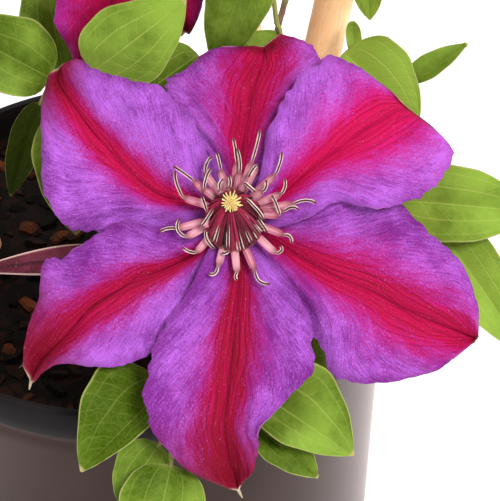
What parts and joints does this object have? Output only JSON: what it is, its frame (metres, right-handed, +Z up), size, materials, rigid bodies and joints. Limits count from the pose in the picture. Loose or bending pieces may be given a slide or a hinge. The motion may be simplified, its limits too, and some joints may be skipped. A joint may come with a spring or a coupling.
{
  "type": "flowering clematis plant on a trellis, in a pot",
  "caption": "Large-flowered climbing clematis in a round plastic nursery pot, its stems trained up a fan trellis of bamboo canes, with striped blooms, buds and leaves",
  "frame": {"origin": "centre of the pot's flat underside", "axes": "+Z up the plant; the open blooms look towards -Y; +X is to the right as they are looked at"},
  "size_m": [0.3563, 0.225, 0.5959],
  "materials": {
    "pot": "dark grey-brown, matte outside with a faint sheen",
    "soil": "dark bark potting mix, rough",
    "cane": "straw-coloured bamboo, satin",
    "twine": "tan garden twine, rough",
    "leaf": "mid green, satin, with paler veins",
    "tepal": "violet with a crimson bar, satin",
    "stamen": "dusty pink, matte",
    "style": "cream, matte",
    "bud": "maroon with paler edges, satin"
  },
  "bodies": {
    "root": {"pot": "pot", "soil": "soil", "cane_left": "cane", "cane_middle": "cane", "cane_right": "cane", "cane_front": "cane", "rung_low": "cane", "rung_middle": "cane", "rung_top": "cane", "tie_low_left": "twine", "tie_low_middle": "twine", "tie_low_right": "twine", "tie_middle_left": "twine", "tie_middle_middle": "twine", "tie_middle_right": "twine", "tie_top_left": "twine", "tie_top_middle": "twine", "tie_top_right": "twine", "tie_front": "twine", "bloom_main_tepals": "tepal", "bloom_main_stamens": "stamen", "bloom_main_styles": "style", "bloom_upper_tepals": "tepal", "bloom_upper_stamens": "stamen", "bloom_upper_styles": "style", "bloom_left_tepals": "tepal", "bloom_left_stamens": "stamen", "bloom_left_styles": "style", "bud_side": "bud", "bud_low": "bud", "bud_top": "bud", "bud_right": "bud", "vine_middle": "leaf", "vine_left": "leaf", "vine_right": "leaf", "vine_front": "leaf"}
  },
  "joints": []
}
